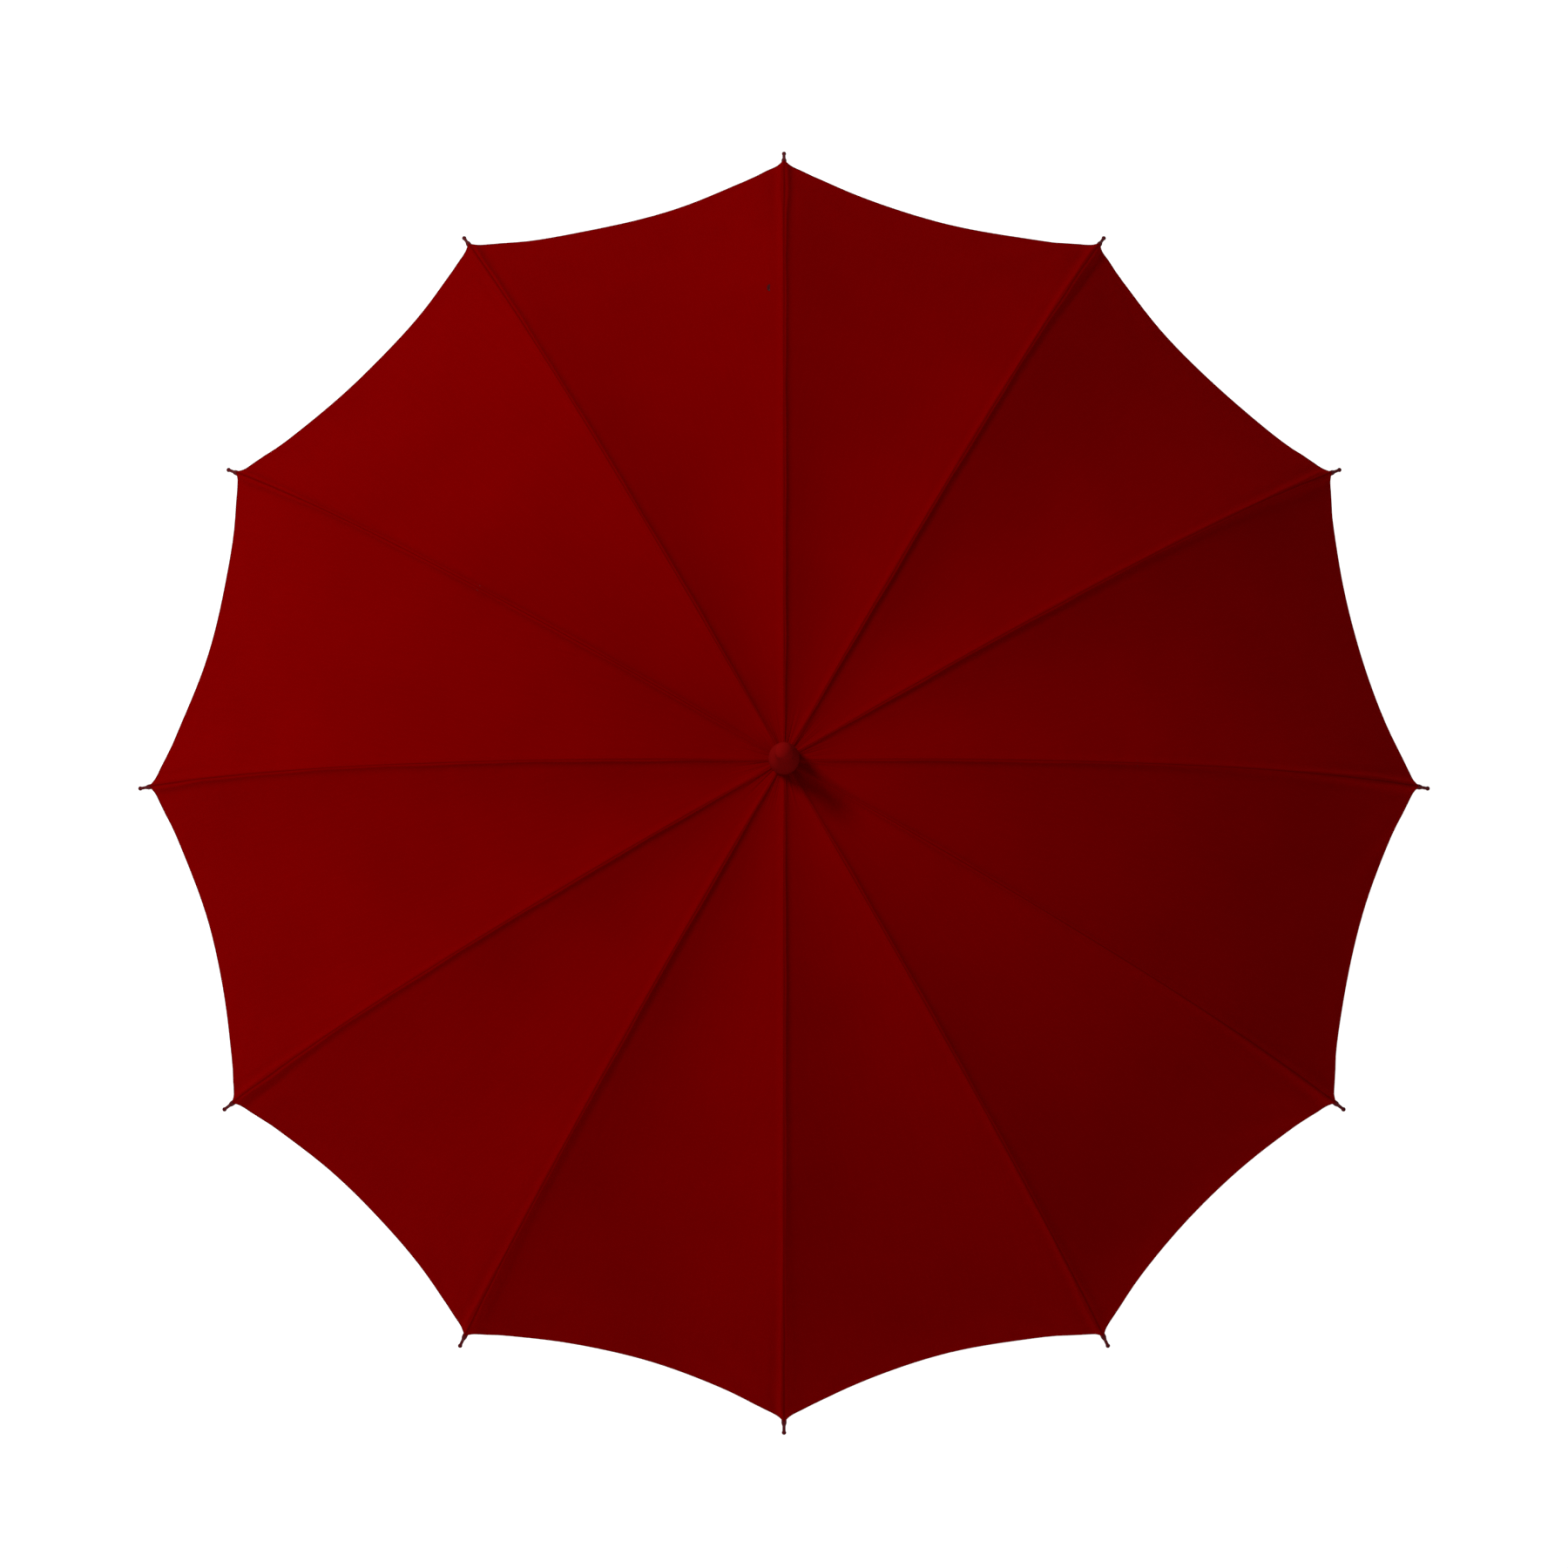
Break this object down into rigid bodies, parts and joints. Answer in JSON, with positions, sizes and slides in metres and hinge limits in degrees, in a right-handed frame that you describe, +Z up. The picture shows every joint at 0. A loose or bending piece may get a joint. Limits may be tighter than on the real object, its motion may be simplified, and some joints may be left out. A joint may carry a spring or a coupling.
{
  "type": "stick umbrella",
  "caption": "Open stick umbrella: a shallow scalloped fabric canopy on folding ribs and stretchers, with a runner, shaft, ferrule and crook handle.",
  "frame": {"origin": "on the shaft's axis, at the middle of the straight grip, 640 mm below the plane of the crown's rib pivots", "axes": "+Z up the shaft towards the ferrule, +X towards the crook's free end and along the first rib"},
  "size_m": [1.031, 1.031, 0.8143],
  "materials": {
    "canopy_fabric": "matt tight plain weave, dark red",
    "strap_fabric": "matt ribbon, dark red",
    "cap": "satin dark red lacquer",
    "rib_tip": "satin very dark red lacquer",
    "steel": "bright zinc-plated, fine rolling lines",
    "black_steel": "satin black lacquer",
    "fibre_rod": "satin pultruded glass fibre, black",
    "nickel": "polished nickel plate, light wear",
    "runner_plastic": "satin moulded black",
    "wood": "dark stained ash, satin lacquer",
    "snap": "satin dark press stud"
  },
  "bodies": {
    "root": {"shaft": "black_steel", "crown": "nickel", "cap_washer": "black_steel", "ferrule": "cap", "handle": "wood", "handle_collar": "nickel", "canopy": "canopy_fabric"},
    "rib_inner_1": {"rib_inner_1": "black_steel"},
    "rib_outer_1": {"rib_outer_1": "fibre_rod", "rib_tip_1": "rib_tip"},
    "stretcher_1": {"stretcher_1": "black_steel"},
    "rib_inner_2": {"rib_inner_2": "black_steel"},
    "rib_outer_2": {"rib_outer_2": "fibre_rod", "rib_tip_2": "rib_tip"},
    "stretcher_2": {"stretcher_2": "black_steel"},
    "rib_inner_3": {"rib_inner_3": "black_steel"},
    "rib_outer_3": {"rib_outer_3": "fibre_rod", "rib_tip_3": "rib_tip"},
    "stretcher_3": {"stretcher_3": "black_steel"},
    "rib_inner_4": {"rib_inner_4": "black_steel"},
    "rib_outer_4": {"rib_outer_4": "fibre_rod", "rib_tip_4": "rib_tip", "tie_strap": "strap_fabric", "strap_snap": "snap"},
    "stretcher_4": {"stretcher_4": "black_steel"},
    "rib_inner_5": {"rib_inner_5": "black_steel"},
    "rib_outer_5": {"rib_outer_5": "fibre_rod", "rib_tip_5": "rib_tip"},
    "stretcher_5": {"stretcher_5": "black_steel"},
    "rib_inner_6": {"rib_inner_6": "black_steel"},
    "rib_outer_6": {"rib_outer_6": "fibre_rod", "rib_tip_6": "rib_tip"},
    "stretcher_6": {"stretcher_6": "black_steel"},
    "rib_inner_7": {"rib_inner_7": "black_steel"},
    "rib_outer_7": {"rib_outer_7": "fibre_rod", "rib_tip_7": "rib_tip"},
    "stretcher_7": {"stretcher_7": "black_steel"},
    "rib_inner_8": {"rib_inner_8": "black_steel"},
    "rib_outer_8": {"rib_outer_8": "fibre_rod", "rib_tip_8": "rib_tip"},
    "stretcher_8": {"stretcher_8": "black_steel"},
    "rib_inner_9": {"rib_inner_9": "black_steel"},
    "rib_outer_9": {"rib_outer_9": "fibre_rod", "rib_tip_9": "rib_tip"},
    "stretcher_9": {"stretcher_9": "black_steel"},
    "rib_inner_10": {"rib_inner_10": "black_steel"},
    "rib_outer_10": {"rib_outer_10": "fibre_rod", "rib_tip_10": "rib_tip"},
    "stretcher_10": {"stretcher_10": "black_steel"},
    "rib_inner_11": {"rib_inner_11": "black_steel"},
    "rib_outer_11": {"rib_outer_11": "fibre_rod", "rib_tip_11": "rib_tip"},
    "stretcher_11": {"stretcher_11": "black_steel"},
    "rib_inner_12": {"rib_inner_12": "black_steel"},
    "rib_outer_12": {"rib_outer_12": "fibre_rod", "rib_tip_12": "rib_tip"},
    "stretcher_12": {"stretcher_12": "black_steel"},
    "runner": {"runner": "runner_plastic"},
    "top_catch": {"top_catch": "steel"},
    "bottom_catch": {"bottom_catch": "steel"}
  },
  "joints": [
    {"name": "canopy_fold", "type": "hinge", "parent": "root", "child": "rib_inner_1", "pos_m": [0.013, 0, 0.64], "axis": [0, 1, 0], "range_deg": [0, 80], "deforming": ["canopy"]},
    {"name": "rib_fold_2", "type": "hinge", "parent": "root", "child": "rib_inner_2", "pos_m": [0.01126, 0.0065, 0.64], "axis": [-0.5, 0.866, 0], "range_deg": [0, 80]},
    {"name": "rib_fold_3", "type": "hinge", "parent": "root", "child": "rib_inner_3", "pos_m": [0.0065, 0.01126, 0.64], "axis": [-0.866, 0.5, 0], "range_deg": [0, 80]},
    {"name": "rib_fold_4", "type": "hinge", "parent": "root", "child": "rib_inner_4", "pos_m": [0, 0.013, 0.64], "axis": [-1, 0, 0], "range_deg": [0, 80]},
    {"name": "rib_fold_5", "type": "hinge", "parent": "root", "child": "rib_inner_5", "pos_m": [-0.0065, 0.01126, 0.64], "axis": [-0.866, -0.5, 0], "range_deg": [0, 80]},
    {"name": "rib_fold_6", "type": "hinge", "parent": "root", "child": "rib_inner_6", "pos_m": [-0.01126, 0.0065, 0.64], "axis": [-0.5, -0.866, 0], "range_deg": [0, 80]},
    {"name": "rib_fold_7", "type": "hinge", "parent": "root", "child": "rib_inner_7", "pos_m": [-0.013, 0, 0.64], "axis": [0, -1, 0], "range_deg": [0, 80]},
    {"name": "rib_fold_8", "type": "hinge", "parent": "root", "child": "rib_inner_8", "pos_m": [-0.01126, -0.0065, 0.64], "axis": [0.5, -0.866, 0], "range_deg": [0, 80]},
    {"name": "rib_fold_9", "type": "hinge", "parent": "root", "child": "rib_inner_9", "pos_m": [-0.0065, -0.01126, 0.64], "axis": [0.866, -0.5, 0], "range_deg": [0, 80]},
    {"name": "rib_fold_10", "type": "hinge", "parent": "root", "child": "rib_inner_10", "pos_m": [0, -0.013, 0.64], "axis": [1, 0, 0], "range_deg": [0, 80]},
    {"name": "rib_fold_11", "type": "hinge", "parent": "root", "child": "rib_inner_11", "pos_m": [0.0065, -0.01126, 0.64], "axis": [0.866, 0.5, 0], "range_deg": [0, 80]},
    {"name": "rib_fold_12", "type": "hinge", "parent": "root", "child": "rib_inner_12", "pos_m": [0.01126, -0.0065, 0.64], "axis": [0.5, 0.866, 0], "range_deg": [0, 80]},
    {"name": "stretcher_fold_1", "type": "hinge", "parent": "rib_inner_1", "child": "stretcher_1", "pos_m": [0.26162, 0, 0.61771], "axis": [0, 1, 0], "range_deg": [-160, 0]},
    {"name": "stretcher_fold_2", "type": "hinge", "parent": "rib_inner_2", "child": "stretcher_2", "pos_m": [0.22657, 0.13081, 0.61771], "axis": [-0.5, 0.866, 0], "range_deg": [-160, 0]},
    {"name": "stretcher_fold_3", "type": "hinge", "parent": "rib_inner_3", "child": "stretcher_3", "pos_m": [0.13081, 0.22657, 0.61771], "axis": [-0.866, 0.5, 0], "range_deg": [-160, 0]},
    {"name": "stretcher_fold_4", "type": "hinge", "parent": "rib_inner_4", "child": "stretcher_4", "pos_m": [0, 0.26162, 0.61771], "axis": [-1, 0, 0], "range_deg": [-160, 0]},
    {"name": "stretcher_fold_5", "type": "hinge", "parent": "rib_inner_5", "child": "stretcher_5", "pos_m": [-0.13081, 0.22657, 0.61771], "axis": [-0.866, -0.5, 0], "range_deg": [-160, 0]},
    {"name": "stretcher_fold_6", "type": "hinge", "parent": "rib_inner_6", "child": "stretcher_6", "pos_m": [-0.22657, 0.13081, 0.61771], "axis": [-0.5, -0.866, 0], "range_deg": [-160, 0]},
    {"name": "stretcher_fold_7", "type": "hinge", "parent": "rib_inner_7", "child": "stretcher_7", "pos_m": [-0.26162, 0, 0.61771], "axis": [0, -1, 0], "range_deg": [-160, 0]},
    {"name": "stretcher_fold_8", "type": "hinge", "parent": "rib_inner_8", "child": "stretcher_8", "pos_m": [-0.22657, -0.13081, 0.61771], "axis": [0.5, -0.866, 0], "range_deg": [-160, 0]},
    {"name": "stretcher_fold_9", "type": "hinge", "parent": "rib_inner_9", "child": "stretcher_9", "pos_m": [-0.13081, -0.22657, 0.61771], "axis": [0.866, -0.5, 0], "range_deg": [-160, 0]},
    {"name": "stretcher_fold_10", "type": "hinge", "parent": "rib_inner_10", "child": "stretcher_10", "pos_m": [0, -0.26162, 0.61771], "axis": [1, 0, 0], "range_deg": [-160, 0]},
    {"name": "stretcher_fold_11", "type": "hinge", "parent": "rib_inner_11", "child": "stretcher_11", "pos_m": [0.13081, -0.22657, 0.61771], "axis": [0.866, 0.5, 0], "range_deg": [-160, 0]},
    {"name": "stretcher_fold_12", "type": "hinge", "parent": "rib_inner_12", "child": "stretcher_12", "pos_m": [0.22657, -0.13081, 0.61771], "axis": [0.5, 0.866, 0], "range_deg": [-160, 0]},
    {"name": "rib_flex_1", "type": "hinge", "parent": "rib_inner_1", "child": "rib_outer_1", "pos_m": [0.2755, 0, 0.61894], "axis": [0, 1, 0], "range_deg": [-22, 0]},
    {"name": "rib_flex_2", "type": "hinge", "parent": "rib_inner_2", "child": "rib_outer_2", "pos_m": [0.23859, 0.13775, 0.61894], "axis": [-0.5, 0.866, 0], "range_deg": [-22, 0]},
    {"name": "rib_flex_3", "type": "hinge", "parent": "rib_inner_3", "child": "rib_outer_3", "pos_m": [0.13775, 0.23859, 0.61894], "axis": [-0.866, 0.5, 0], "range_deg": [-22, 0]},
    {"name": "rib_flex_4", "type": "hinge", "parent": "rib_inner_4", "child": "rib_outer_4", "pos_m": [0, 0.2755, 0.61894], "axis": [-1, 0, 0], "range_deg": [-22, 0]},
    {"name": "rib_flex_5", "type": "hinge", "parent": "rib_inner_5", "child": "rib_outer_5", "pos_m": [-0.13775, 0.23859, 0.61894], "axis": [-0.866, -0.5, 0], "range_deg": [-22, 0]},
    {"name": "rib_flex_6", "type": "hinge", "parent": "rib_inner_6", "child": "rib_outer_6", "pos_m": [-0.23859, 0.13775, 0.61894], "axis": [-0.5, -0.866, 0], "range_deg": [-22, 0]},
    {"name": "rib_flex_7", "type": "hinge", "parent": "rib_inner_7", "child": "rib_outer_7", "pos_m": [-0.2755, 0, 0.61894], "axis": [0, -1, 0], "range_deg": [-22, 0]},
    {"name": "rib_flex_8", "type": "hinge", "parent": "rib_inner_8", "child": "rib_outer_8", "pos_m": [-0.23859, -0.13775, 0.61894], "axis": [0.5, -0.866, 0], "range_deg": [-22, 0]},
    {"name": "rib_flex_9", "type": "hinge", "parent": "rib_inner_9", "child": "rib_outer_9", "pos_m": [-0.13775, -0.23859, 0.61894], "axis": [0.866, -0.5, 0], "range_deg": [-22, 0]},
    {"name": "rib_flex_10", "type": "hinge", "parent": "rib_inner_10", "child": "rib_outer_10", "pos_m": [0, -0.2755, 0.61894], "axis": [1, 0, 0], "range_deg": [-22, 0]},
    {"name": "rib_flex_11", "type": "hinge", "parent": "rib_inner_11", "child": "rib_outer_11", "pos_m": [0.13775, -0.23859, 0.61894], "axis": [0.866, 0.5, 0], "range_deg": [-22, 0]},
    {"name": "rib_flex_12", "type": "hinge", "parent": "rib_inner_12", "child": "rib_outer_12", "pos_m": [0.23859, -0.13775, 0.61894], "axis": [0.5, 0.866, 0], "range_deg": [-22, 0]},
    {"name": "runner_hinge", "type": "hinge", "parent": "stretcher_1", "child": "runner", "pos_m": [0.013, 0, 0.59542], "axis": [0, 1, 0], "range_deg": [0, 80]},
    {"name": "top_catch_press", "type": "hinge", "parent": "root", "child": "top_catch", "pos_m": [0.00193, 0.00052, 0.51582], "axis": [0.2588, -0.9659, 0], "range_deg": [0, 5.5], "stiffness_Nm_per_rad": 0.5},
    {"name": "bottom_catch_press", "type": "hinge", "parent": "root", "child": "bottom_catch", "pos_m": [0.00193, 0.00052, 0.14057], "axis": [-0.2588, 0.9659, 0], "range_deg": [0, 5.5], "stiffness_Nm_per_rad": 0.5}
  ],
  "couplings": [
    {"joint": "rib_fold_2", "follows": "canopy_fold", "ratio": 1},
    {"joint": "rib_fold_3", "follows": "canopy_fold", "ratio": 1},
    {"joint": "rib_fold_4", "follows": "canopy_fold", "ratio": 1},
    {"joint": "rib_fold_5", "follows": "canopy_fold", "ratio": 1},
    {"joint": "rib_fold_6", "follows": "canopy_fold", "ratio": 1},
    {"joint": "rib_fold_7", "follows": "canopy_fold", "ratio": 1},
    {"joint": "rib_fold_8", "follows": "canopy_fold", "ratio": 1},
    {"joint": "rib_fold_9", "follows": "canopy_fold", "ratio": 1},
    {"joint": "rib_fold_10", "follows": "canopy_fold", "ratio": 1},
    {"joint": "rib_fold_11", "follows": "canopy_fold", "ratio": 1},
    {"joint": "rib_fold_12", "follows": "canopy_fold", "ratio": 1},
    {"joint": "stretcher_fold_1", "follows": "canopy_fold", "ratio": -2},
    {"joint": "stretcher_fold_2", "follows": "canopy_fold", "ratio": -2},
    {"joint": "stretcher_fold_3", "follows": "canopy_fold", "ratio": -2},
    {"joint": "stretcher_fold_4", "follows": "canopy_fold", "ratio": -2},
    {"joint": "stretcher_fold_5", "follows": "canopy_fold", "ratio": -2},
    {"joint": "stretcher_fold_6", "follows": "canopy_fold", "ratio": -2},
    {"joint": "stretcher_fold_7", "follows": "canopy_fold", "ratio": -2},
    {"joint": "stretcher_fold_8", "follows": "canopy_fold", "ratio": -2},
    {"joint": "stretcher_fold_9", "follows": "canopy_fold", "ratio": -2},
    {"joint": "stretcher_fold_10", "follows": "canopy_fold", "ratio": -2},
    {"joint": "stretcher_fold_11", "follows": "canopy_fold", "ratio": -2},
    {"joint": "stretcher_fold_12", "follows": "canopy_fold", "ratio": -2},
    {"joint": "rib_flex_1", "follows": "canopy_fold", "ratio": -0.275},
    {"joint": "rib_flex_2", "follows": "canopy_fold", "ratio": -0.275},
    {"joint": "rib_flex_3", "follows": "canopy_fold", "ratio": -0.275},
    {"joint": "rib_flex_4", "follows": "canopy_fold", "ratio": -0.275},
    {"joint": "rib_flex_5", "follows": "canopy_fold", "ratio": -0.275},
    {"joint": "rib_flex_6", "follows": "canopy_fold", "ratio": -0.275},
    {"joint": "rib_flex_7", "follows": "canopy_fold", "ratio": -0.275},
    {"joint": "rib_flex_8", "follows": "canopy_fold", "ratio": -0.275},
    {"joint": "rib_flex_9", "follows": "canopy_fold", "ratio": -0.275},
    {"joint": "rib_flex_10", "follows": "canopy_fold", "ratio": -0.275},
    {"joint": "rib_flex_11", "follows": "canopy_fold", "ratio": -0.275},
    {"joint": "rib_flex_12", "follows": "canopy_fold", "ratio": -0.275},
    {"joint": "runner_hinge", "follows": "canopy_fold", "ratio": 1}
  ]
}
